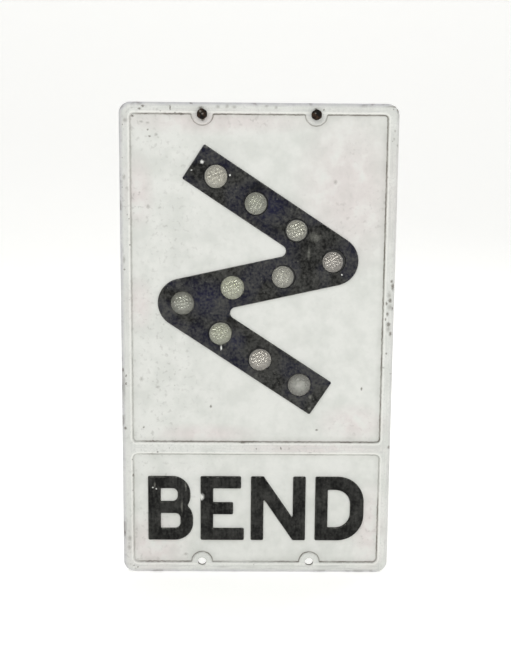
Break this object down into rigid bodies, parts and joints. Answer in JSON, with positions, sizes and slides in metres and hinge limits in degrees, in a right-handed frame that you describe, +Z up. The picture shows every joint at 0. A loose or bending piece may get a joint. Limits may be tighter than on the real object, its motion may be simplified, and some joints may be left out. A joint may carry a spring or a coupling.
{
  "type": "bend warning sign",
  "caption": "Cast light-alloy road sign plate with a raised border, a raised black double-bend symbol set with round glass reflectors, a raised word panel and half-round fixing lugs.",
  "frame": {"origin": "midway between the two lower fixing holes, on the plate's rear face inside the lip", "axes": "+X to the right as the sign is read, +Z up, the front faces -Y and +Y points to the post"},
  "size_m": [0.3048, 0.0238, 0.5334],
  "materials": {
    "painted_casting": "aged white enamel over cast alloy, black on the raised symbol and letters",
    "reflector_glass": "moulded prismatic glass",
    "seal_rubber": "matte black",
    "cup_aluminium": "pressed and dulled",
    "spring_steel": "dull spring wire",
    "rusty_steel": "blackened and rusty"
  },
  "bodies": {
    "root": {"fixing_bolts": "rusty_steel", "fixing_nuts": "rusty_steel", "fixing_washers": "rusty_steel", "reflector_cup_01": "cup_aluminium", "reflector_cup_02": "cup_aluminium", "reflector_cup_03": "cup_aluminium", "reflector_cup_04": "cup_aluminium", "reflector_cup_05": "cup_aluminium", "reflector_cup_06": "cup_aluminium", "reflector_cup_07": "cup_aluminium", "reflector_cup_08": "cup_aluminium", "reflector_cup_09": "cup_aluminium", "reflector_cup_10": "cup_aluminium", "reflector_lens_01": "reflector_glass", "reflector_lens_02": "reflector_glass", "reflector_lens_03": "reflector_glass", "reflector_lens_04": "reflector_glass", "reflector_lens_05": "reflector_glass", "reflector_lens_06": "reflector_glass", "reflector_lens_07": "reflector_glass", "reflector_lens_08": "reflector_glass", "reflector_lens_09": "reflector_glass", "reflector_lens_10": "reflector_glass", "reflector_ring_01": "spring_steel", "reflector_ring_02": "spring_steel", "reflector_ring_03": "spring_steel", "reflector_ring_04": "spring_steel", "reflector_ring_05": "spring_steel", "reflector_ring_06": "spring_steel", "reflector_ring_07": "spring_steel", "reflector_ring_08": "spring_steel", "reflector_ring_09": "spring_steel", "reflector_ring_10": "spring_steel", "reflector_seal_01": "seal_rubber", "reflector_seal_02": "seal_rubber", "reflector_seal_03": "seal_rubber", "reflector_seal_04": "seal_rubber", "reflector_seal_05": "seal_rubber", "reflector_seal_06": "seal_rubber", "reflector_seal_07": "seal_rubber", "reflector_seal_08": "seal_rubber", "reflector_seal_09": "seal_rubber", "reflector_seal_10": "seal_rubber", "sign_plate": "painted_casting"}
  },
  "joints": []
}
